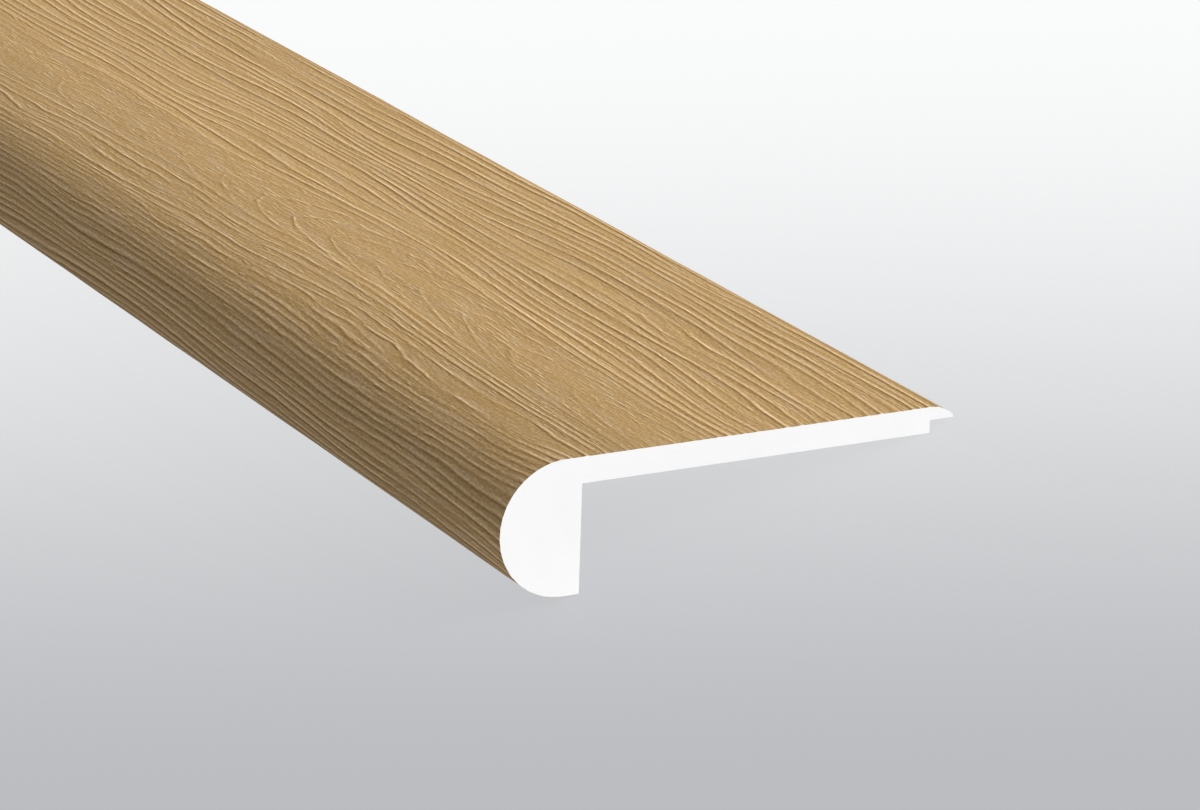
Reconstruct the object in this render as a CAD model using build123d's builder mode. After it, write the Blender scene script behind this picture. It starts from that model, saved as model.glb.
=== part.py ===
"""Overlapping stair nosing, one extruded length of rigid vinyl trim.

A half-round nose hangs over the edge of the stair. A thin flange runs back from the top of the nose
and is bedded on the tread, and a crowned lip at the back of the flange laps over the edge of the floor
covering. The section is the same from end to end, with square-sawn ends, and the piece is solid: nose,
flange and lip are one extrusion.

Laid down by itself with its good face up, the nosing leans back until it rests on two edges: the heel,
which is the lower back corner of the nose, and the back corner of the flange. It is modelled lying like
that, along Y, with the nose towards -X. The origin is under the middle of its bounding box, on the
surface that it lies on.
"""

import os
from math import atan2, cos, sin, sqrt

from build123d import *

# Driving dimensions in millimetres
stock_length = 2387.6  # sold by the 94 inch length
overall_width = 69.85  # front of the nose to the tip of the lip
nose_radius = 9.65  # half-round front, two radii high
heel_flat = 2.45  # flat under the nose, from the half-round back to the heel
lip_overhang = 3.8  # reach of the lip past the back of the flange
lip_thickness = 1.9  # lip where it leaves the flange
lip_crown_radius = 5.2  # roll-off of the top face towards the tip
lip_tip_edge = 0.25  # blunt edge left at the tip
floor_rebate = 1.85  # height under the lip for the edge of the floor covering

# Sizes that follow, measured from the heel: back along the flange, and up
nose_height = 2 * nose_radius
nose_depth = nose_radius + heel_flat
tip_reach = overall_width - nose_depth
flange_reach = tip_reach - lip_overhang
flange_thickness = lip_thickness + floor_rebate
leg_drop = nose_height - flange_thickness
lip_underside = nose_height - lip_thickness
crown_drop = lip_thickness - lip_tip_edge
crown_run = sqrt(2 * lip_crown_radius * crown_drop - crown_drop**2)

# How it lies: leaning back about the heel until the back corner of the flange touches down
rest_lean = atan2(leg_drop, flange_reach)
nose_front = nose_radius * sin(rest_lean) - heel_flat * cos(rest_lean) - nose_radius
lip_end = tip_reach * cos(rest_lean) + (lip_underside + lip_tip_edge) * sin(rest_lean)
heel_place = -(nose_front + lip_end) / 2
section_plane = Plane(
    origin=(heel_place, 0, 0),
    x_dir=(cos(rest_lean), 0, -sin(rest_lean)),
    z_dir=(0, -1, 0),
)

with BuildPart() as stair_nosing:
    with BuildSketch(section_plane):
        with BuildLine():
            # Nose: flat under it, then the half-round up to the top face
            heel = Line((0, 0), (-heel_flat, 0))
            nose = TangentArc(heel @ 1, (-heel_flat, nose_height), tangent=heel % 1)
            # Top face of the flange, rolling off over the lip to its blunt tip
            top_face = Line(nose @ 1, (tip_reach - crown_run, nose_height))
            crown = TangentArc(top_face @ 1, (tip_reach, lip_underside + lip_tip_edge), tangent=top_face % 1)
            # Underneath: the lip, the rebate, the bed on the tread and the back of the leg
            Polyline(
                crown @ 1,
                (tip_reach, lip_underside),
                (flange_reach, lip_underside),
                (flange_reach, leg_drop),
                (0, leg_drop),
                heel @ 0,
            )
        make_face()
    extrude(amount=stock_length / 2, both=True)

stair_nosing.part.label = "stair_nosing"

os.makedirs("parts", exist_ok=True)
export_step(stair_nosing.part, "parts/stair_nosing.step")
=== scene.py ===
"""Dressed model of an overlapping stair nosing: white vinyl stock under a film embossed as oak."""

import logging
import math
from dataclasses import dataclass, field
from enum import Enum
from typing import Union

import bpy
import numpy as np
from mathutils import Matrix, Vector


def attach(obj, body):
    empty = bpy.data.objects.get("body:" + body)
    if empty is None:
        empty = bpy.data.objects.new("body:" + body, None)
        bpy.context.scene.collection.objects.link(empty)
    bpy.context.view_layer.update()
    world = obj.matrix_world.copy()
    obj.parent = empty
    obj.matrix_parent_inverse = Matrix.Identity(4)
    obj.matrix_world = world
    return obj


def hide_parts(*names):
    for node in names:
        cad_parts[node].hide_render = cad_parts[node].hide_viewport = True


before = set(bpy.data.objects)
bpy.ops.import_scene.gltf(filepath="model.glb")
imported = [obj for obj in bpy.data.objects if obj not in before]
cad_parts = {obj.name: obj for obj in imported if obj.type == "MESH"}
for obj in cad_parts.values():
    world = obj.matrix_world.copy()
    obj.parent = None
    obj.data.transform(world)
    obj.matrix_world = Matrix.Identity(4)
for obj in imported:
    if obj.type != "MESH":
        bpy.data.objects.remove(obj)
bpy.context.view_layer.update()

log = logging.getLogger("stair_nosing")

MM = 0.001

Colour = tuple[float, float, float]
Plug = Union["Signal", bpy.types.NodeSocket, float, int, bool, str, tuple]


def feed(tree: bpy.types.NodeTree, socket: bpy.types.NodeSocket, value: Plug) -> None:
    """Wire a signal into a node's input, or set the input to a plain value.

    Args:
        tree: The tree that the node is in.
        socket: The input to fill.
        value: A signal, another node's output, or a plain value.
    """
    if isinstance(value, Signal):
        value = value.socket
    if isinstance(value, bpy.types.NodeSocket):
        tree.links.new(value, socket)
    else:
        socket.default_value = value


def put(name: str, data: bpy.types.ID) -> bpy.types.Object:
    """Add an object to the scene.

    Args:
        name: The object's name.
        data: Its mesh, light or camera.

    Returns:
        The object, at the origin.
    """
    made = bpy.data.objects.new(name, data)
    bpy.context.collection.objects.link(made)
    return made


@dataclass(frozen=True)
class Signal:
    """A number that comes from a node's output. Arithmetic on it adds Math nodes to the tree."""

    tree: bpy.types.NodeTree
    socket: bpy.types.NodeSocket

    def math(self, operation: str, *others: Plug) -> "Signal":
        """Add one Math node.

        Args:
            operation: Blender's name for the operation.
            others: The values that follow this one in the operation.

        Returns:
            The result.
        """
        node = self.tree.nodes.new("ShaderNodeMath")
        node.operation = operation
        for socket, value in zip(node.inputs, (self, *others)):
            feed(self.tree, socket, value)
        return Signal(self.tree, node.outputs[0])

    def __add__(self, other: Plug) -> "Signal":
        """Sum of two numbers."""
        return self.math("ADD", other)

    __radd__ = __add__

    def __sub__(self, other: Plug) -> "Signal":
        """Difference of two numbers."""
        return self.math("SUBTRACT", other)

    def __rsub__(self, other: Plug) -> "Signal":
        """A plain number less this one."""
        return self.math("MULTIPLY_ADD", -1.0, other)

    def __mul__(self, other: Plug) -> "Signal":
        """Product of two numbers."""
        return self.math("MULTIPLY", other)

    __rmul__ = __mul__

    def __truediv__(self, other: Plug) -> "Signal":
        """Quotient of two numbers."""
        return self.math("DIVIDE", other)

    def __neg__(self) -> "Signal":
        """The number with its sign turned."""
        return self.math("MULTIPLY", -1.0)

    def clamp(self, low: Plug, high: Plug) -> "Signal":
        """The number held between two limits."""
        return self.math("MAXIMUM", low).math("MINIMUM", high)

    def ramp(self, start: float, end: float) -> "Signal":
        """Rise smoothly from 0 to 1 between two values, or fall where the start is the higher one.

        Args:
            start: Value at which the result is 0.
            end: Value at which the result is 1.

        Returns:
            A number from 0 to 1.
        """
        node = self.tree.nodes.new("ShaderNodeMapRange")
        node.interpolation_type = "SMOOTHSTEP"
        for name, value in (("Value", self), ("From Min", start), ("From Max", end)):
            feed(self.tree, node.inputs[name], value)
        return Signal(self.tree, node.outputs["Result"])

    def bell(self, width: Plug) -> "Signal":
        """Bell curve about zero that falls to 1/e at a width."""
        scaled = self / width
        return (-(scaled * scaled)).math("EXPONENT")


@dataclass(frozen=True)
class Noise:
    """Noise stretched along the grain: the size of its cells, its seed and its finer layers.

    Where it is used in patches, they go from nothing to full between two of its values, which lie around 0.
    """

    across: float
    along: float
    seed: float
    detail: float = 0.0
    none: float = -1.0
    full: float = 1.0


@dataclass(frozen=True)
class NodeBench:
    """A node tree in the making: adds nodes and hands out what they give."""

    tree: bpy.types.NodeTree

    def add(
        self, kind: str, inputs: dict[Union[str, int], Plug] | None = None, **settings: object
    ) -> bpy.types.Node:
        """Add a node.

        Args:
            kind: Blender's name for the node.
            inputs: Values or signals by the name or place of the input.
            settings: The node's own properties.

        Returns:
            The node.
        """
        node = self.tree.nodes.new(kind)
        for name, value in settings.items():
            setattr(node, name, value)
        for key, value in (inputs or {}).items():
            feed(self.tree, node.inputs[key], value)
        return node

    def signal(self, node: bpy.types.Node, output: Union[str, int] = 0) -> Signal:
        """One output of a node as a signal."""
        return Signal(self.tree, node.outputs[output])

    def vector(self, x: Plug, y: Plug, z: Plug) -> bpy.types.NodeSocket:
        """Three numbers as one vector."""
        return self.add("ShaderNodeCombineXYZ", {"X": x, "Y": y, "Z": z}).outputs[0]

    def part_of(self, vector: bpy.types.NodeSocket, axis: str) -> Signal:
        """One number of a vector."""
        return self.signal(self.add("ShaderNodeSeparateXYZ", {0: vector}), axis)

    def noise(self, across: Plug, along: Plug, kind: Noise) -> Signal:
        """Lay a noise over the film.

        Args:
            across: Distance across the grain.
            along: Distance along the grain.
            kind: The noise's sizes and seed.

        Returns:
            A number around 0, within about -1 and 1.
        """
        place = self.vector(across / kind.across, along / kind.along, kind.seed)
        node = self.add("ShaderNodeTexNoise", {"Vector": place, "Scale": 1.0, "Detail": kind.detail})
        return (self.signal(node, "Fac") - 0.5) * 2.0

    def patches(self, across: Plug, along: Plug, kind: Noise) -> Signal:
        """Patches of a noise, from 0 outside them to 1 within."""
        return self.noise(across, along, kind).ramp(kind.none, kind.full)

    def mix(self, share: Plug, first: Plug, second: Colour) -> bpy.types.NodeSocket:
        """Mix two colours.

        Args:
            share: How much of the second colour there is, from 0 to 1.
            first: A colour, or a node's colour output.
            second: The other colour.

        Returns:
            The mixed colour's output.
        """
        node = self.add("ShaderNodeMix", data_type="RGBA")
        named = {socket.identifier: socket for socket in (*node.inputs, *node.outputs)}
        first = (*first, 1.0) if isinstance(first, tuple) else first
        for name, value in (("Factor_Float", share), ("A_Color", first), ("B_Color", (*second, 1.0))):
            feed(self.tree, named[name], value)
        return named["Result_Color"]

    def blend(self, share: Plug, first: bpy.types.Node, second: bpy.types.Node) -> bpy.types.Node:
        """Mix two shaders by the share of the second."""
        return self.add("ShaderNodeMixShader", {0: share, 1: first.outputs[0], 2: second.outputs[0]})

    def chance(self, number: Plug) -> Signal:
        """A fixed random number from 0 to 1 for each whole number."""
        return self.signal(self.add("ShaderNodeTexWhiteNoise", {"W": number}, noise_dimensions="1D"), "Value")


class Mark(Enum):
    """Point attributes that the mesh carries, for its relief and its print."""

    ACROSS = "grain"
    FILM = "film"


@dataclass(frozen=True)
class NosingSection:
    """Section of the stock as it sits on a stair, from its heel: u runs back over the tread and v runs up."""

    overall_width: float = 69.85 * MM
    nose_radius: float = 9.65 * MM
    heel_flat: float = 2.45 * MM
    lip_overhang: float = 3.8 * MM
    lip_thickness: float = 1.9 * MM
    lip_crown_radius: float = 5.2 * MM
    lip_tip_edge: float = 0.25 * MM
    floor_rebate: float = 1.85 * MM

    @property
    def nose_height(self) -> float:
        """Height of the half-round nose."""
        return 2 * self.nose_radius

    @property
    def tip_reach(self) -> float:
        """Distance from the back of the leg to the tip of the lip."""
        return self.overall_width - self.nose_radius - self.heel_flat

    @property
    def flange_reach(self) -> float:
        """Distance from the back of the leg to the back of the thick flange."""
        return self.tip_reach - self.lip_overhang

    @property
    def lip_underside(self) -> float:
        """Height of the lip's underside over the heel."""
        return self.nose_height - self.lip_thickness

    @property
    def leg_drop(self) -> float:
        """Height of the bed that lies on the tread over the heel."""
        return self.lip_underside - self.floor_rebate

    @property
    def crown_turn(self) -> float:
        """Angle that the lip's rounded edge turns through."""
        return math.acos(1 - (self.lip_thickness - self.lip_tip_edge) / self.lip_crown_radius)

    @property
    def top_flat(self) -> float:
        """Width of the flat top between the nose and the rounded lip."""
        return self.tip_reach + self.heel_flat - self.lip_crown_radius * math.sin(self.crown_turn)

    @property
    def nose_girth(self) -> float:
        """Length round the half-round nose."""
        return math.pi * self.nose_radius

    @property
    def film_girth(self) -> float:
        """Length across the film, from the heel over the nose and the top to the tip of the lip."""
        crown = self.lip_crown_radius * self.crown_turn
        return self.heel_flat + self.nose_girth + self.top_flat + crown + self.lip_tip_edge

    @property
    def rest_lean(self) -> float:
        """Angle at which the stock leans on its heel and the back of its flange on a level floor."""
        return math.atan2(self.leg_drop, self.flange_reach)

    def film_point(self, girth: float) -> tuple[float, float]:
        """A point of the section's outer line.

        Args:
            girth: Distance across the film from the heel.

        Returns:
            The point's u and v.
        """
        heel = min(girth, self.heel_flat)
        turn = min(max((girth - self.heel_flat) / self.nose_radius, 0.0), math.pi)
        beyond = girth - self.heel_flat - self.nose_girth
        flat = min(max(beyond, 0.0), self.top_flat)
        fall = min(max((beyond - self.top_flat) / self.lip_crown_radius, 0.0), self.crown_turn)
        edge = max(beyond - self.top_flat - self.lip_crown_radius * self.crown_turn, 0.0)
        u = flat - heel - self.nose_radius * math.sin(turn) + self.lip_crown_radius * math.sin(fall)
        v = self.nose_radius * (1 - math.cos(turn)) - self.lip_crown_radius * (1 - math.cos(fall)) - edge
        return u, v

    def underside(self) -> list[tuple[float, float]]:
        """Corners under the lip, the rebate and the bed, from the lip to the leg."""
        return [
            (self.flange_reach, self.lip_underside),
            (self.flange_reach, self.leg_drop),
            (0.0, self.leg_drop),
        ]

    def placement(self) -> Matrix:
        """Lay the stock down as it rests on the floor, centred.

        Returns:
            The turn and move from the section's frame to the floor's.
        """
        cosine, sine = math.cos(self.rest_lean), math.sin(self.rest_lean)
        front = (sine - 1) * self.nose_radius - self.heel_flat * cosine
        back = self.tip_reach * cosine + (self.lip_underside + self.lip_tip_edge) * sine
        return Matrix.Translation((-(front + back) / 2, 0.0, 0.0)) @ Matrix.Rotation(self.rest_lean, 4, "Y")


class GrainZone(Enum):
    """Stretches of the film across its grain: where each starts and ends, and the pitch of its lines."""

    NOSE = (0.0 * MM, 22.0 * MM, 0.96 * MM)
    CREST = (22.0 * MM, 31.0 * MM, 0.86 * MM)
    SHOULDER = (31.0 * MM, 41.0 * MM, 2.10 * MM)
    CATHEDRAL = (41.0 * MM, 58.0 * MM, 2.20 * MM)
    TREAD = (58.0 * MM, 89.0 * MM, 1.70 * MM)
    LIP = (89.0 * MM, 100.0 * MM, 1.50 * MM)

    def __init__(self, start: float, end: float, pitch: float) -> None:
        """Keep the zone's three values under their names."""
        self.start = start
        self.end = end
        self.pitch = pitch

    def lines_before(self, across: Signal) -> Signal:
        """Number of this zone's lines between its start and a place across the film."""
        return (across - self.start).clamp(0.0, self.end - self.start) / self.pitch


@dataclass(frozen=True)
class Cathedral:
    """A smooth band with pointed arches: level lines of a valley whose depth swings along the stock."""

    middle: float = 48.0 * MM
    core: float = 5.5 * MM
    edge: float = 9.5 * MM
    depth: float = 20.0 * MM
    swing: float = 6.7 * MM
    period: float = 600.0 * MM
    start: float = -1073.4 * MM
    pitch: float = 0.9 * MM
    line_width: float = 0.38 * MM
    least_slope: float = 0.04
    main_arch: int = 22
    main_spread: float = 1.2
    least_arch: float = 0.45
    uneven: Noise = Noise(4 * MM, 22 * MM, seed=52.0, detail=1.0)
    uneven_reach: float = 0.18 * MM
    lost: Noise = Noise(2 * MM, 9 * MM, seed=53.0, none=0.2, full=-0.5)
    lost_share: float = 0.8

    def band(self, across: Signal) -> Signal:
        """How far a place lies within the band, from 0 to 1."""
        return (across - self.middle).math("ABSOLUTE").ramp(self.edge, self.core)

    def arches(self, bench: NodeBench, across: Signal, along: Signal) -> Signal:
        """Raised arch lines.

        Args:
            bench: The tree in the making.
            across: Distance across the figure.
            along: Distance along the stock.

        Returns:
            Height of the lines, from 0 to 1.
        """
        reach = across - self.middle
        phase = (along - self.start) * (2 * math.pi / self.period)
        uneven = bench.noise(across, along, self.uneven) * self.uneven_reach
        depth = phase.math("SINE") * self.swing + self.depth + uneven
        slope = phase.math("COSINE") * (2 * math.pi * self.swing / self.period)
        level = (reach * reach + depth * depth).math("SQRT")
        steep = (reach * reach + depth * depth * slope * slope).math("SQRT") / level
        count = level / self.pitch
        line = count.math("ROUND")
        offset = (count - line) * self.pitch / steep.math("MAXIMUM", self.least_slope)
        rank = (line - self.main_arch).bell(self.main_spread) * (1.0 - self.least_arch) + self.least_arch
        shown = 1.0 - bench.patches(across, along, self.lost) * self.lost_share
        return offset.bell(self.line_width) * rank * shown * self.band(across)


@dataclass(frozen=True)
class OakGrain:
    """Figure of the oak: how its lines lie, wander and break up, and where its pointed arches stand."""

    cathedral: Cathedral = Cathedral()
    wanders: tuple[tuple[Noise, float], ...] = (
        (Noise(24 * MM, 130 * MM, seed=7.0), 5.0 * MM),
        (Noise(9 * MM, 42 * MM, seed=10.3), 1.3 * MM),
        (Noise(4.5 * MM, 13 * MM, seed=13.6), 0.27 * MM),
        (Noise(1.8 * MM, 4.5 * MM, seed=16.9), 0.085 * MM),
    )
    broad_wanders: int = 2
    eddy: Noise = Noise(14 * MM, 45 * MM, seed=30.0, none=-0.1, full=0.5)
    eddy_gain: float = 1.4
    eddy_least: float = 0.5
    flow_middle: float = 35.0 * MM
    flow_width: float = 7.0 * MM
    flow_gain: float = 1.1
    near_end: float = -1193.8 * MM
    run_out: float = 3.2 * MM
    run_out_length: float = 28.0 * MM
    run_out_start: float = 12.0 * MM
    run_out_end: float = 30.0 * MM
    bend_start: float = 17.0 * MM
    bend_reach: float = 7.0 * MM
    nose_liveliness: float = 0.6
    nose_boldness: float = 0.5
    calm_end: float = 28.0 * MM
    lively_start: float = 38.0 * MM
    uneven: Noise = Noise(2.4, 60 * MM, seed=24.0)
    uneven_reach: float = 0.85
    fade: Noise = Noise(1.0, 36 * MM, seed=18.0, detail=1.0, none=0.1, full=-0.5)
    fade_stride: float = 7.31
    gap: Noise = Noise(1.0, 10 * MM, seed=20.0, none=0.05, full=-0.35)
    gap_stride: float = 3.77
    gap_share: float = 0.75
    rank_share: float = 0.5
    lip_flank: float = 1.08
    nose_flank: float = 0.92
    gauge: float = 0.15 * MM
    loosest: float = 0.3 / MM
    crowding: float = 0.22
    broad_start: float = 18.0 * MM
    broad_end: float = 12.0 * MM
    broad_gain: float = 1.6
    crest_rise: tuple[float, float] = (22.0 * MM, 27.0 * MM)
    crest_fall: tuple[float, float] = (35.0 * MM, 31.0 * MM)
    crest_share: float = 0.12
    band_share: float = 0.85

    def astray(self, bench: NodeBench, across: Signal, along: Signal, broad: bool = False) -> Signal:
        """Where a place across the film lies in the figure, once the grain has wandered.

        Args:
            bench: The tree in the making.
            across: Distance from the heel.
            along: Distance along the stock.
            broad: Leave out the small wanders, as for pores, which stay straight.

        Returns:
            Distance across the straight figure.
        """
        lively = self.liveliness(across)
        ended = ((along - self.near_end) / -self.run_out_length).math("EXPONENT")
        below = (self.bend_start - across).math("MAXIMUM", 0.0)
        place = across + below - (1.0 - (below / -self.bend_reach).math("EXPONENT")) * self.bend_reach
        place = place + ended * across.ramp(self.run_out_end, self.run_out_start) * self.run_out
        flow = self.flow(across)
        for number, (kind, reach) in enumerate(self.wanders):
            if broad and number == self.broad_wanders:
                break
            wander = bench.noise(across, along, kind) * lively * reach
            if number:
                wander = wander * (flow * self.flow_gain + 1.0)
            if number == self.broad_wanders:
                restless = bench.patches(across, along, self.eddy)
                wander = wander * (restless * self.eddy_gain + self.eddy_least)
            place = place + wander
        return place

    def flow(self, across: Signal) -> Signal:
        """How far a place lies on the shoulder behind the nose, where the grain flows and breaks up."""
        return (across - self.flow_middle).bell(self.flow_width)

    def from_nose(self, across: Signal, least: float) -> Signal:
        """Rise from a least value on the nose to 1 on the tread."""
        return across.ramp(self.calm_end, self.lively_start) * (1.0 - least) + least

    def liveliness(self, across: Signal) -> Signal:
        """How freely the grain runs at a place across the film: calm on the nose, 1 on the tread."""
        return self.from_nose(across, self.nose_liveliness)

    def boldness(self, across: Signal) -> Signal:
        """How much of the embossing's full depth there is at a place across the film."""
        return self.from_nose(across, self.nose_boldness)

    def crest(self, place: Signal) -> Signal:
        """How far a place of the figure lies on the crest of the nose, where the lines are fine."""
        return place.ramp(*self.crest_rise) * place.ramp(*self.crest_fall)

    def count(self, bench: NodeBench, place: Signal, along: Signal) -> Signal:
        """How many lines of the straight grain there are up to a place of the figure.

        Args:
            bench: The tree in the making.
            place: Distance across the figure.
            along: Distance along the stock.

        Returns:
            The number of lines, whole at the middle of each one.
        """
        count = sum((zone.lines_before(place) for zone in GrainZone), 0.0)
        return count + bench.noise(count, along, self.uneven) * self.liveliness(place) * self.uneven_reach

    def lines(self, bench: NodeBench, place: Signal, beside: Signal, along: Signal, width: float) -> Signal:
        """Raised lines of the straight grain, each of its own strength, that fade in and out.

        Args:
            bench: The tree in the making.
            place: Distance across the figure.
            beside: Distance across the figure one gauge farther from the heel.
            along: Distance along the stock.
            width: Half the width of a line that has room beside its neighbours.

        Returns:
            Height of the lines, from 0 to 1.
        """
        count = self.count(bench, place, along)
        density = (self.count(bench, beside, along) - count).math("ABSOLUTE") / self.gauge
        broad = place.ramp(self.broad_start, self.broad_end) * self.broad_gain + 1.0
        slim = (density * broad * (width / self.crowding)).math("MAXIMUM", 1.0) / broad
        line = count.math("ROUND")
        lively = self.liveliness(place)
        crest = self.crest(place)
        rank = 1.0 - bench.chance(line) * lively * self.rank_share
        faded = bench.patches(line * self.fade_stride, along, self.fade) * lively
        broken = bench.patches(line * self.gap_stride, along, self.gap)
        breaking = self.flow(place).math("MAXIMUM", crest) * self.gap_share
        shown = (1.0 - faded) * (1.0 - broken * breaking) * (1.0 - crest * self.crest_share)
        reach = (count - line) / density.math("MAXIMUM", self.loosest)
        lip_side = reach.math("GREATER_THAN", 0.0)
        flank = lip_side * (self.lip_flank - self.nose_flank) + self.nose_flank
        shape = (reach * slim / flank).bell(width) / slim
        return shape * rank * shown * (1.0 - self.cathedral.band(place) * self.band_share)


@dataclass(frozen=True)
class OakFilm:
    """Matte film printed and embossed as oak: tan ground, lines, flecks and pointed arches, with painted
    highlight and shade on the embossed lines, painted shade toward the nose and painted light on the lower
    nose.
    """

    grain: OakGrain
    name: str = "oak_film"
    ground: Colour = (0.480, 0.305, 0.124)
    dusty: Colour = (0.532, 0.372, 0.207)
    # pale: colour of the painted highlight on the lip-facing slopes of the embossed lines; brown: colour of
    # the painted shade on their nose-facing slopes
    pale: Colour = (0.880, 0.650, 0.385)
    brown: Colour = (0.265, 0.147, 0.050)
    dust: Noise = Noise(1.6 * MM, 14 * MM, seed=44.0, detail=2.0, none=-0.15, full=0.45)
    dust_share: float = 0.6
    nose_greying: float = 0.35
    bands: tuple[tuple[Noise, float], ...] = (
        (Noise(12 * MM, 150 * MM, seed=45.0), 0.04),
        (Noise(2.8 * MM, 130 * MM, seed=42.0), 0.09),
    )
    streaks: tuple[Noise, float] = (Noise(0.8 * MM, 38 * MM, seed=43.0, detail=1.0), 0.10)
    mottle: tuple[Noise, float] = (Noise(0.34 * MM, 0.75 * MM, seed=46.0, detail=1.0), 0.38)
    # Painted shade: the print darkens from tread_start toward nose_end and over the nose, which faces away
    # from the key light
    nose_painted_shade: float = 0.78
    nose_end: float = 32.0 * MM
    tread_start: float = 50.0 * MM
    plain_tone: float = 0.93
    plain_ease: float = 0.35
    # Painted light: the print lightens on the lower nose, from low_start down to low_end, where bounce light
    # from the floor falls
    low_painted_light: float = 1.20
    low_end: float = 11.0 * MM
    low_start: float = 22.0 * MM
    # Strengths of the painted highlight and shade: overall, the highlight's share, on the nose, on the lower
    # nose and on the shoulder
    relief_shading_gain: float = 1.5
    pale_share: float = 0.85
    nose_gain: float = 0.77
    low_gain: float = 0.60
    flow_gain: float = 0.46
    line_width: float = 0.32 * MM
    line_height: float = 0.21 * MM
    arch_height: float = 0.14 * MM
    vein: Noise = Noise(1.4 * MM, 50 * MM, seed=31.0, detail=1.0)
    vein_patch: Noise = Noise(5 * MM, 40 * MM, seed=33.0, none=-0.4, full=0.4)
    vein_width: float = 0.13
    vein_ease: float = 0.7
    vein_height: float = 0.07 * MM
    dash: Noise = Noise(0.50 * MM, 11 * MM, seed=67.0, none=0.25, full=0.55)
    dash_height: float = 0.045 * MM
    fleck: Noise = Noise(0.50 * MM, 4.3 * MM, seed=61.0, none=0.26, full=0.48)
    fleck_height: float = 0.080 * MM
    crowd: Noise = Noise(4 * MM, 24 * MM, seed=63.0, detail=1.0)
    crowd_share: float = 0.55
    crowd_arches: float = 0.40
    crowd_band: float = 0.22
    crowd_tread: float = 0.10
    crowd_least: float = 0.30
    fibre: Noise = Noise(0.30 * MM, 2.5 * MM, seed=41.0, detail=1.0)
    fibre_height: float = 0.062 * MM
    bump_strength: float = 0.42
    haze: Noise = Noise(1.5 * MM, 20 * MM, seed=47.0, detail=2.0)
    haze_share: float = 0.08
    roughness: float = 0.6
    sheen_level: float = 0.02

    def material(self) -> bpy.types.Material:
        """Build the film's material.

        Returns:
            The material, which reads the mesh's own marks and Object coordinates.
        """
        made = bpy.data.materials.new(self.name)
        made.use_nodes = True
        bench = NodeBench(made.node_tree)
        shader = made.node_tree.nodes["Principled BSDF"]
        along = bench.part_of(bench.add("ShaderNodeTexCoord").outputs["Object"], "Y")
        mark = bench.add("ShaderNodeAttribute", attribute_name=Mark.ACROSS.value)
        across = bench.signal(mark, "Fac")
        step = self.grain.gauge
        steps = [across, across + step, across + 2.0 * step]
        places = [self.grain.astray(bench, place, along) for place in steps]
        height = self._height(bench, steps[0], places[0], places[1], along)
        beside = self._height(bench, steps[1], places[1], places[2], along)
        nose = across.ramp(self.tread_start, self.nose_end)
        low = across.ramp(self.low_start, self.low_end)
        smooth = self.grain.cathedral.band(places[0])
        # Painted highlight and shade: the embossing's fall across the grain, bright where it falls toward the
        # lip and dark where it falls toward the nose, weaker on the nose and stronger on the lower nose and
        # the shoulder
        gain = nose * (self.nose_gain - 1.0) + low * self.low_gain + 1.0
        gain = gain + self.grain.flow(across) * self.flow_gain
        light = (height - beside) * (self.relief_shading_gain / step) * gain

        dust = bench.patches(across, along, self.dust) * self.dust_share
        # The ground also turns greyer toward the nose
        dust = dust + across.ramp(self.nose_end, self.low_start) * self.nose_greying
        glint = light * (nose * (1.0 - self.pale_share) + self.pale_share)
        painted_shade = (-light).clamp(0.0, 1.0) * (1.0 - smooth * self.plain_ease)
        colour = bench.mix(dust, self.ground, self.dusty)
        # The painted highlight is mixed in as pale, the painted shade as brown
        colour = bench.mix(glint.clamp(0.0, 1.0), colour, self.pale)
        colour = bench.mix(painted_shade, colour, self.brown)
        # The print's random tone, times the painted shade on the nose
        tone_and_painted_light = self._tone(bench, across, along) * (1.0 - nose * (1.0 - self.nose_painted_shade))
        # Times the band's own plainer tone and the painted light on the lower nose
        tone_and_painted_light = tone_and_painted_light * (1.0 - smooth * (1.0 - self.plain_tone)) * (low * (self.low_painted_light - 1.0) + 1.0)
        scaled = bench.add("ShaderNodeVectorMath", {0: colour, "Scale": tone_and_painted_light}, operation="SCALE")
        feed(bench.tree, shader.inputs["Base Color"], scaled.outputs[0])

        embossed = height * self.grain.boldness(across)
        bump = bench.add("ShaderNodeBump", {"Height": embossed, "Distance": 1.0})
        bump.inputs["Strength"].default_value = self.bump_strength
        feed(bench.tree, shader.inputs["Normal"], bump.outputs[0])
        rough = bench.noise(across, along, self.haze) * self.haze_share + self.roughness
        feed(bench.tree, shader.inputs["Roughness"], rough)
        shader.inputs["Specular IOR Level"].default_value = self.sheen_level
        return made

    def _tone(self, bench: NodeBench, across: Signal, along: Signal) -> Signal:
        """How light the print is, around 1: wide bands, narrow streaks and a fine mottle.

        Args:
            bench: The tree in the making.
            across: Distance from the heel.
            along: Distance along the stock.

        Returns:
            A factor for the print's colour.
        """
        kinds = (*self.bands, self.streaks, self.mottle)
        return sum((bench.noise(across, along, kind) * share for kind, share in kinds), 1.0)

    def _height(
        self, bench: NodeBench, across: Signal, place: Signal, beside: Signal, along: Signal
    ) -> Signal:
        """Height of the fine embossing.

        Args:
            bench: The tree in the making.
            across: Distance from the heel.
            place: Distance across the figure.
            beside: Distance across the figure one gauge farther from the heel.
            along: Distance along the stock.

        Returns:
            The height in metres.
        """
        arch = self.grain.cathedral.arches(bench, place, along)
        height = self.grain.lines(bench, place, beside, along, self.line_width) * self.line_height
        height = height + arch * self.arch_height

        plain = self.grain.cathedral.band(place)
        lively = self.grain.liveliness(across)
        vein = bench.noise(place, along, self.vein).bell(self.vein_width)
        vein = vein * bench.patches(place, along, self.vein_patch) * (1.0 - plain * self.vein_ease)
        height = height + vein * self.vein_height

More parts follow.
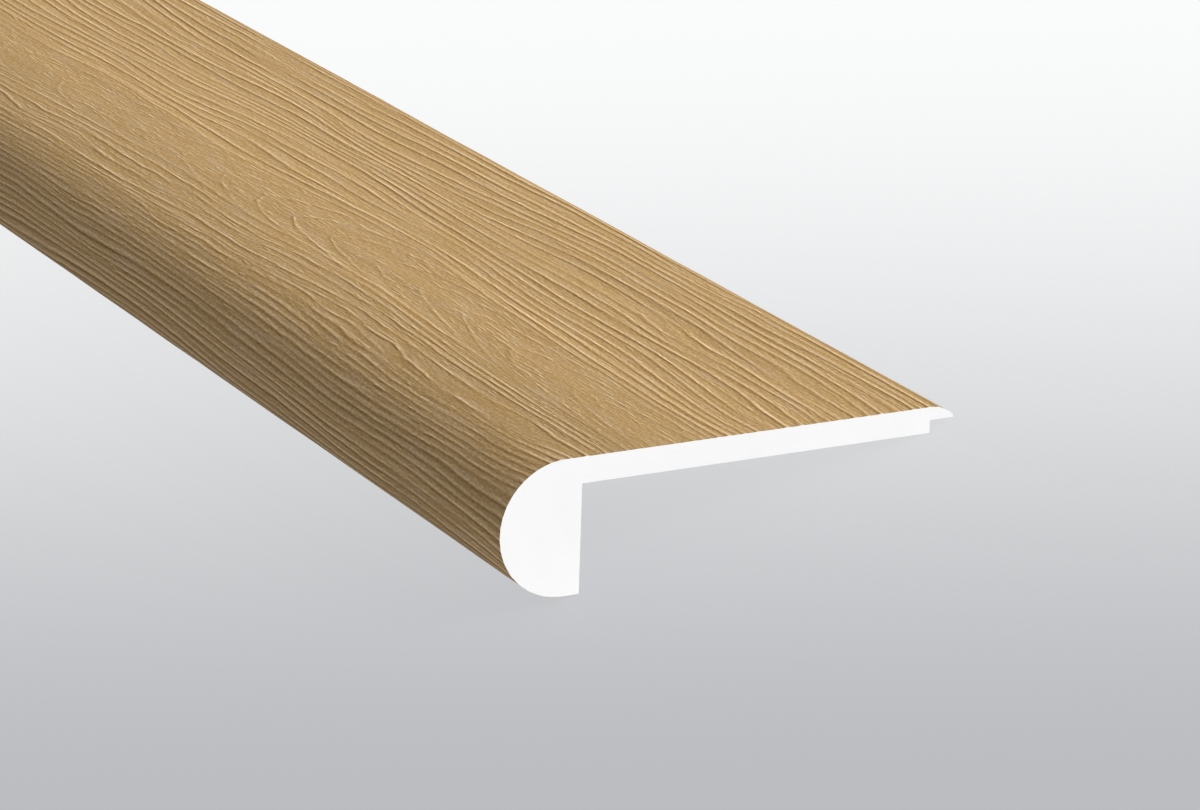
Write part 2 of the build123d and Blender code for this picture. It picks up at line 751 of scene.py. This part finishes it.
        straight = self.grain.astray(bench, across, along, broad=True)
        dash = bench.patches(straight, along, self.dash) * (1.0 - plain)
        height = height + dash * lively * self.dash_height
        crowd = bench.noise(place, along, self.crowd) * self.crowd_share + arch * self.crowd_arches
        crowd = crowd + plain * self.crowd_band - self.crowd_least + lively * self.crowd_tread
        fleck = (bench.noise(straight, along, self.fleck) + crowd).ramp(self.fleck.none, self.fleck.full)
        fibre = bench.noise(straight, along, self.fibre)
        return height + fleck * self.fleck_height + fibre * self.fibre_height


@dataclass(frozen=True)
class WhiteVinyl:
    """White rigid vinyl of the core, seen on the sawn ends and underneath."""

    white: Colour = (0.945, 0.945, 0.945)
    shade: Colour = (0.900, 0.901, 0.905)
    pore_size: float = 0.35 * MM
    pore_range: tuple[float, float] = (0.6, 0.8)
    pore_share: float = 0.6
    pore_height: float = 0.012 * MM
    cloud_size: float = 14.0 * MM
    cloud_range: tuple[float, float] = (0.35, 0.75)
    cloud_share: float = 0.4
    kerf_radian: float = 0.9 * MM
    kerf_drift: float = 3.0
    kerf_height: float = 0.006 * MM
    roughness: float = 0.5
    rough_share: float = 0.15
    sheen_level: float = 0.3

    def material(self) -> bpy.types.Material:
        """Build the core's material.

        Returns:
            The material, on Object coordinates.
        """
        made = bpy.data.materials.new("white_vinyl")
        made.use_nodes = True
        bench = NodeBench(made.node_tree)
        shader = made.node_tree.nodes["Principled BSDF"]
        place = bench.add("ShaderNodeTexCoord").outputs["Object"]
        pores = self._speckle(bench, place, self.pore_size)
        cloud = self._speckle(bench, place, self.cloud_size)
        share = cloud.ramp(*self.cloud_range) * self.cloud_share
        share = (share + pores.ramp(*self.pore_range) * self.pore_share).clamp(0.0, 1.0)
        feed(bench.tree, shader.inputs["Base Color"], bench.mix(share, self.white, self.shade))
        kerf = (bench.part_of(place, "X") / self.kerf_radian + cloud * self.kerf_drift).math("SINE")
        height = pores * self.pore_height + kerf * self.kerf_height
        bump = bench.add("ShaderNodeBump", {"Height": height, "Distance": 1.0, "Strength": 1.0})
        feed(bench.tree, shader.inputs["Normal"], bump.outputs[0])
        feed(bench.tree, shader.inputs["Roughness"], cloud * self.rough_share + self.roughness)
        shader.inputs["Specular IOR Level"].default_value = self.sheen_level
        return made

    def _speckle(self, bench: NodeBench, place: bpy.types.NodeSocket, size: float) -> Signal:
        """Plain noise of one size of speck, from 0 to 1."""
        return bench.signal(bench.add("ShaderNodeTexNoise", {"Vector": place, "Scale": 1.0 / size}), "Fac")


@dataclass
class NosingSweep:
    """Geometry Nodes tree that sweeps the section along the stock and embosses the film."""

    section: NosingSection
    grain: OakGrain
    length: float
    steps: int
    relief: float
    film: bpy.types.Material
    core: bpy.types.Material
    line_width: float = 0.38 * MM
    ground_level: float = 0.4
    edge_ease: float = 1.0 * MM
    face_on_film: float = 0.999
    point_on_film: float = 0.5
    settings: dict[str, object] = field(default_factory=dict)

    def apply(self, holder: bpy.types.Object) -> None:
        """Put the tree on the section loop's object, with its inputs set.

        Args:
            holder: Object whose mesh is the closed loop of the section.
        """
        tree = self._build()
        modifier = holder.modifiers.new("nosing_sweep", "NODES")
        modifier.node_group = tree
        for identifier, value in self.settings.items():
            modifier[identifier] = value

    def _build(self) -> bpy.types.GeometryNodeTree:
        """Build the tree.

        Returns:
            The tree, whose inputs' values are kept in settings by identifier.
        """
        tree = bpy.data.node_groups.new("nosing_sweep", "GeometryNodeTree")
        tree.interface.new_socket("Geometry", in_out="INPUT", socket_type="NodeSocketGeometry")
        tree.interface.new_socket("Geometry", in_out="OUTPUT", socket_type="NodeSocketGeometry")
        sizes = {
            "Length": self.length,
            "Heel Flat": self.section.heel_flat,
            "Nose Radius": self.section.nose_radius,
            "Top Flat": self.section.top_flat,
            "Crown Radius": self.section.lip_crown_radius,
            "Crown Turn": self.section.crown_turn,
            "Tip Edge": self.section.lip_tip_edge,
            "Relief": self.relief,
        }
        for name, value in sizes.items():
            self._input(tree, name, "NodeSocketFloat", value)
        self._input(tree, "Steps", "NodeSocketInt", self.steps)
        self._input(tree, "Film", "NodeSocketMaterial", self.film)
        self._input(tree, "Core", "NodeSocketMaterial", self.core)

        bench = NodeBench(tree)
        given = bench.add("NodeGroupInput")
        swept = self._sweep(bench, given)
        raised = self._emboss(bench, given, swept)
        real = bench.add("GeometryNodeRealizeInstances", {"Geometry": raised}).outputs[0]
        white = bench.add("GeometryNodeSetMaterial", {"Geometry": real, "Material": given.outputs["Core"]})
        covered = self._mark(bench, Mark.FILM).math("GREATER_THAN", self.face_on_film)
        dressed = bench.add(
            "GeometryNodeSetMaterial",
            {"Geometry": white.outputs[0], "Selection": covered, "Material": given.outputs["Film"]},
        )
        bench.add("NodeGroupOutput", {"Geometry": dressed.outputs[0]})
        return tree

    def _input(self, tree: bpy.types.GeometryNodeTree, name: str, kind: str, value: object) -> None:
        """Add a named input to the tree and keep its value by the socket's identifier."""
        socket = tree.interface.new_socket(name, in_out="INPUT", socket_type=kind)
        self.settings[socket.identifier] = value

    def _mark(self, bench: NodeBench, mark: Mark) -> Signal:
        """Read one of the mesh's own marks."""
        node = bench.add("GeometryNodeInputNamedAttribute", {"Name": mark.value}, data_type="FLOAT")
        return bench.signal(node, "Attribute")

    def _sweep(self, bench: NodeBench, given: bpy.types.Node) -> bpy.types.NodeSocket:
        """Sweep the section loop along the stock.

        Args:
            bench: The tree in the making.
            given: The tree's input node.

        Returns:
            The swept mesh with both ends closed.
        """
        half = bench.signal(given, "Length") * 0.5
        line = bench.add(
            "GeometryNodeCurvePrimitiveLine",
            {"Start": bench.vector(0.0, -half, 0.0), "End": bench.vector(0.0, half, 0.0)},
        )
        count = bench.signal(given, "Steps") + 1.0
        path = bench.add("GeometryNodeResampleCurve", {"Curve": line.outputs[0], "Count": count})
        loop = bench.add("GeometryNodeMeshToCurve", {"Mesh": given.outputs["Geometry"]})
        swept = bench.add(
            "GeometryNodeCurveToMesh",
            {"Curve": path.outputs[0], "Profile Curve": loop.outputs[0], "Fill Caps": True},
        )
        return swept.outputs[0]

    def _emboss(
        self, bench: NodeBench, given: bpy.types.Node, swept: bpy.types.NodeSocket
    ) -> bpy.types.NodeSocket:
        """Raise the lines of the grain on the film and sink the ground between them.

        Args:
            bench: The tree in the making.
            given: The tree's input node.
            swept: The swept mesh.

        Returns:
            The embossed mesh.
        """
        girth = self._mark(bench, Mark.ACROSS)
        along = bench.part_of(bench.add("GeometryNodeInputPosition").outputs[0], "Y")
        full = self.section.film_girth
        place = self.grain.astray(bench, girth, along)
        beside = self.grain.astray(bench, girth + self.grain.gauge, along)
        raised = self.grain.lines(bench, place, beside, along, self.line_width)
        raised = raised + self.grain.cathedral.arches(bench, place, along)
        edges = girth.ramp(0.0, self.edge_ease) * girth.ramp(full, full - self.edge_ease)
        depth = bench.signal(given, "Relief") * self.grain.boldness(girth) * edges
        height = (raised.clamp(0.0, 1.0) - self.ground_level) * depth

        names = ("Heel Flat", "Nose Radius", "Top Flat", "Crown Radius", "Crown Turn", "Tip Edge")
        heel_flat, radius, top, crown, crown_turn, tip = (bench.signal(given, name) for name in names)
        heel = girth.clamp(0.0, heel_flat)
        turn = ((girth - heel_flat) / radius).clamp(0.0, math.pi)
        beyond = girth - heel_flat - radius * math.pi
        flat = beyond.clamp(0.0, top)
        fall = ((beyond - top) / crown).clamp(0.0, crown_turn)
        edge = (beyond - top - crown * crown_turn).clamp(0.0, tip)
        facing = turn + fall
        u = flat - heel - radius * turn.math("SINE") + crown * fall.math("SINE")
        u = u - height * facing.math("SINE")
        v = radius * (1.0 - turn.math("COSINE")) - crown * (1.0 - fall.math("COSINE")) - edge
        v = v - height * facing.math("COSINE")
        covered = self._mark(bench, Mark.FILM).math("GREATER_THAN", self.point_on_film)
        moved = bench.add(
            "GeometryNodeSetPosition",
            {"Geometry": swept, "Selection": covered, "Position": bench.vector(u, along, v)},
        )
        return moved.outputs[0]


@dataclass
class StairNosing:
    """The whole piece of stock: one extrusion with its film, laid on the floor as it rests."""

    name: str = "oak_look_nosing"
    section: NosingSection = field(default_factory=NosingSection)
    grain: OakGrain = field(default_factory=OakGrain)
    length: float = 2387.6 * MM
    steps: int = 414
    film_columns: int = 236
    relief: float = 0.10 * MM
    crease: float = math.radians(55)
    film_rows: int = 2
    map_margin: float = 0.006
    map_core: float = 0.06
    map_belly: float = 0.78
    map_caps: float = 0.81
    map_cap_room: float = 1.1
    map_cap_wide: float = 0.4
    map_cap_tall: float = 0.45
    map_touch: float = 0.02 * MM

    def build(self) -> bpy.types.Object:
        """Make the piece, dress it and tie it to the frame.

        Returns:
            The finished piece, with its place in its mesh.
        """
        holder = self._section_loop()
        film = OakFilm(self.grain).material()
        core = WhiteVinyl().material()
        sweep = NosingSweep(self.section, self.grain, self.length, self.steps, self.relief, film, core)
        sweep.apply(holder)
        depsgraph = bpy.context.evaluated_depsgraph_get()
        mesh = bpy.data.meshes.new_from_object(
            holder.evaluated_get(depsgraph), preserve_all_data_layers=True, depsgraph=depsgraph
        )
        bpy.data.objects.remove(holder)
        self._map_faces(mesh)
        mesh.transform(self.section.placement())
        mesh.polygons.foreach_set("use_smooth", np.ones(len(mesh.polygons), dtype=bool))
        mesh.set_sharp_from_angle(angle=self.crease)
        mesh.update()
        mesh.name = self.name
        piece = put(self.name, mesh)
        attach(piece, "root")
        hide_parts("stair_nosing")
        return piece

    def _section_loop(self) -> bpy.types.Object:
        """Draw the section as one closed loop of edges, with the marks that the relief and print need.

        Returns:
            An object that holds the loop, flat, for the sweep to read.
        """
        places = np.linspace(0.0, self.section.film_girth, self.film_columns)
        points = [self.section.film_point(place) for place in places] + self.section.underside()
        count = len(points)
        mesh = bpy.data.meshes.new("section_loop")
        edges = [(number, (number + 1) % count) for number in range(count)]
        mesh.from_pydata([(u, -v, 0.0) for u, v in points], edges, [])
        bare = count - len(places)
        for mark, values in ((Mark.ACROSS, places), (Mark.FILM, np.ones(len(places)))):
            layer = mesh.attributes.new(mark.value, "FLOAT", "POINT")
            layer.data.foreach_set("value", np.concatenate([values, np.zeros(bare)]).astype(np.float32))
        holder = put("section_loop", mesh)
        log.info("section loop: %d points, %d of them on the film", count, len(places))
        return holder

    def _read(
        self, items: bpy.types.bpy_prop_collection, name: str, kind: type, width: int = 1
    ) -> np.ndarray:
        """Read one property of all the items of a mesh.

        Args:
            items: The mesh's corners, points or faces, or an attribute's values.
            name: The property.
            kind: The type of its numbers.
            width: How many numbers each item has.

        Returns:
            The numbers, in rows of the width where it is more than 1.
        """
        values = np.empty(len(items) * width, dtype=kind)
        items.foreach_get(name, values)
        return values.reshape(-1, width) if width > 1 else values

    def _map_faces(self, mesh: bpy.types.Mesh) -> None:
        """Lay the faces out on a map for baking: the film in rows along the stock, the core in a strip.

        Args:
            mesh: The swept mesh, still in the section's own frame.
        """
        corner = self._read(mesh.loops, "vertex_index", np.int32)
        places = self._read(mesh.vertices, "co", np.float32, 3)[corner]
        across = self._read(mesh.attributes[Mark.ACROSS.value].data, "value", np.float32)[corner]
        starts, totals, slots = (
            self._read(mesh.polygons, name, np.int32)
            for name in ("loop_start", "loop_total", "material_index")
        )
        owner = np.repeat(np.arange(len(totals)), totals)
        film = np.array([material.name == OakFilm.name for material in mesh.materials])[slots]

        margin = self.map_margin
        run = places[:, 1] / self.length + 0.5
        middle = np.add.reduceat(places[:, 1], starts) / totals / self.length + 0.5
        row = np.clip(middle * self.film_rows, 0, self.film_rows - 1).astype(int)[owner]
        tall = (1.0 - self.map_core) / self.film_rows
        u = margin + (run * self.film_rows - row) * (1 - 2 * margin)
        v = self.map_core + tall * row + across / self.section.film_girth * (tall - margin)

        tip = self.section.film_point(self.section.film_girth)
        turns = np.array([tip, *self.section.underside(), (0.0, 0.0)])
        girths = np.concatenate([[0.0], np.cumsum(np.hypot(*np.diff(turns, axis=0).T))])
        belly = np.zeros(len(corner))
        for point, girth in zip(turns, girths):
            near = np.hypot(places[:, 0] - point[0], places[:, 2] - point[1]) < self.map_touch
            belly[near] = girth / girths[-1]
        strip = self.map_core - 2 * margin
        four_sided = totals == 4
        below = (~film & four_sided)[owner]
        u[below] = margin + run[below] * self.map_belly
        v[below] = margin + belly[below] * strip

        caps = (~film & ~four_sided)[owner]
        far = places[:, 1] > 0
        scale = strip / (self.section.nose_height * self.map_cap_room)
        u[caps] = (self.map_caps + (places[:, 0] + self.section.nose_height) * scale * self.map_cap_wide)[caps]
        v[caps] = (margin + places[:, 2] * scale * self.map_cap_tall + far * (strip / 2))[caps]
        layer = mesh.uv_layers.new(name="OFBake")
        layer.data.foreach_set("uv", np.stack([u, v], axis=1).astype(np.float32).ravel())


@dataclass(frozen=True)
class PhotoCamera:
    """Camera at the photograph's angle, placed from the near end of the heel as the stock sits on a stair."""

    azimuth: float = math.radians(28.815)
    elevation: float = math.radians(18.2085)
    roll: float = math.radians(1.907)
    eye_back: float = -302.06 * MM
    eye_before: float = 553.25 * MM
    eye_up: float = 233.89 * MM
    lens: float = 151.27
    sensor: float = 36.0
    image: tuple[int, int] = (1200, 810)
    clip: tuple[float, float] = (0.01, 50.0)

    def build(self, section: NosingSection, length: float) -> bpy.types.Object:
        """Make the camera and set it as the scene's own.

        Args:
            section: The section, whose placement the camera follows.
            length: Length of the stock.

        Returns:
            The camera.
        """
        level = math.cos(self.elevation)
        ahead = Vector(
            (math.sin(self.azimuth) * level, math.cos(self.azimuth) * level, -math.sin(self.elevation))
        )
        right = ahead.cross(Vector((0.0, 0.0, 1.0))).normalized()
        up = right.cross(ahead)
        tilted = math.cos(self.roll) * right + math.sin(self.roll) * up
        upright = math.cos(self.roll) * up - math.sin(self.roll) * right
        turn = Matrix((tilted, upright, -ahead)).transposed().to_4x4()
        eye = Vector((self.eye_back, -length / 2 - self.eye_before, self.eye_up))
        data = bpy.data.cameras.new("photo_camera")
        data.sensor_fit = "HORIZONTAL"
        data.sensor_width = self.sensor
        data.lens = self.lens
        data.clip_start, data.clip_end = self.clip
        camera = put("photo_camera", data)
        camera.matrix_world = section.placement() @ Matrix.Translation(eye) @ turn
        bpy.context.scene.camera = camera
        return camera


@dataclass(frozen=True)
class Studio:
    """Plain soft studio: one broad key light, even fill from all round and a pale floor."""

    key_level: float = 0.85
    key_spread: float = math.radians(36)
    key_from: tuple[float, float, float] = (0.436, -0.648, 0.624)
    fill_level: float = 0.48
    backdrop_low: Colour = (0.498, 0.505, 0.529)
    backdrop_high: Colour = (0.990, 0.996, 1.000)
    backdrop_round: Colour = (0.800, 0.806, 0.820)
    backdrop_tilt: float = 0.02
    backdrop_turn: tuple[float, float] = (-0.11, -0.40)
    floor_reach: float = 12.0
    floor_bounce: float = 0.48
    floor_shown: float = 0.60
    floor_clear: float = 0.93

    def build(self, section: NosingSection, length: float) -> None:
        """Light the scene and set the camera.

        Args:
            section: The section, whose placement the lights and camera follow.
            length: Length of the stock.
        """
        lens = PhotoCamera()
        camera = lens.build(section, length)
        self._key(section)
        self._fill(lens, camera)
        self._floor()
        bpy.context.scene.view_settings.view_transform = "Standard"

    def _key(self, section: NosingSection) -> None:
        """Hang the key light, whose level is what it gives a white face square to it.

        Args:
            section: The section, whose placement the light follows.
        """
        data = bpy.data.lights.new("key", "SUN")
        data.energy = math.pi * self.key_level
        data.angle = self.key_spread
        key = put("key", data)
        toward = section.placement().to_3x3() @ Vector(self.key_from)
        key.rotation_euler = toward.to_track_quat("Z", "Y").to_euler()

    def _seen(self, bench: NodeBench) -> Signal:
        """Tell the rays that show the backdrop from those that gather light from it.

        Args:
            bench: The tree in the making.

        Returns:
            1 for rays that show it, 0 for the others.
        """
        path = bench.add("ShaderNodeLightPath")
        shown = bench.signal(path, "Is Camera Ray").math("MAXIMUM", bench.signal(path, "Is Glossy Ray"))
        return shown.math("MAXIMUM", bench.signal(path, "Is Transmission Ray"))

    def _fill(self, lens: PhotoCamera, camera: bpy.types.Object) -> None:
        """Fill the scene evenly from all round, with a pale backdrop for the rays that see it.

        Args:
            lens: The camera's own sizes.
            camera: The camera.
        """
        world = bpy.data.worlds.new("studio")
        world.use_nodes = True
        bpy.context.scene.world = world
        world.node_tree.nodes.clear()
        bench = NodeBench(world.node_tree)
        white = (1.0, 1.0, 1.0, 1.0)
        lit = bench.add("ShaderNodeBackground", {"Color": white, "Strength": self.fill_level})
        backdrop = self._backdrop(bench, lens, camera)
        shown = bench.add("ShaderNodeBackground", {"Color": backdrop, "Strength": 1.0})
        mixed = bench.blend(self._seen(bench), lit, shown)
        bench.add("ShaderNodeOutputWorld", {"Surface": mixed.outputs[0]})

    def _backdrop(
        self, bench: NodeBench, lens: PhotoCamera, camera: bpy.types.Object
    ) -> bpy.types.NodeSocket:
        """Paint the backdrop: grey that pales upwards over the picture's height, and plain all round.

        Args:
            bench: The world's tree in the making.
            lens: The camera's own sizes.
            camera: The camera.

        Returns:
            The backdrop's colour.
        """
        upward = camera.matrix_world.to_3x3() @ Vector((-self.backdrop_tilt, 1.0, 0.0)).normalized()
        direction = bench.add("ShaderNodeTexCoord").outputs["Generated"]
        lifted = bench.add("ShaderNodeVectorMath", {0: direction, 1: upward}, operation="DOT_PRODUCT")
        height = bench.signal(lifted, "Value")
        wide, tall = lens.image
        top = math.atan(tall / wide * lens.sensor / lens.lens / 2)
        colour = bench.mix(height.ramp(-top, top), self.backdrop_low, self.backdrop_high)
        return bench.mix(height.ramp(*self.backdrop_turn), colour, self.backdrop_round)

    def _floor(self) -> None:
        """Lay the floor, which bounces light, takes the shadow and else lets the backdrop show."""
        reach = self.floor_reach
        mesh = bpy.data.meshes.new("floor")
        corners = [(-reach, -reach, 0.0), (reach, -reach, 0.0), (reach, reach, 0.0), (-reach, reach, 0.0)]
        mesh.from_pydata(corners, [], [(0, 1, 2, 3)])
        floor = put("floor", mesh)
        mesh.materials.append(self._floor_paint())

    def _floor_paint(self) -> bpy.types.Material:
        """Build the floor's paint.

        Returns:
            The material.
        """
        made = bpy.data.materials.new("studio_floor")
        made.use_nodes = True
        made.node_tree.nodes.clear()
        bench = NodeBench(made.node_tree)
        matt, lit = (
            bench.add("ShaderNodeBsdfDiffuse", {"Color": (level, level, level, 1.0)})
            for level in (self.floor_shown, self.floor_bounce)
        )
        clear = bench.add("ShaderNodeBsdfTransparent")
        shown = bench.blend(self.floor_clear, matt, clear)
        mixed = bench.blend(self._seen(bench), lit, shown)
        bench.add("ShaderNodeOutputMaterial", {"Surface": mixed.outputs[0]})
        return made


def main() -> None:
    """Build the nosing and its studio."""
    logging.basicConfig(level=logging.INFO, format="%(name)s: %(message)s")
    nosing = StairNosing()
    piece = nosing.build()
    log.info("%s: %d faces", piece.name, len(piece.data.polygons))
    Studio().build(nosing.section, nosing.length)


if __name__ == "__main__":
    main()
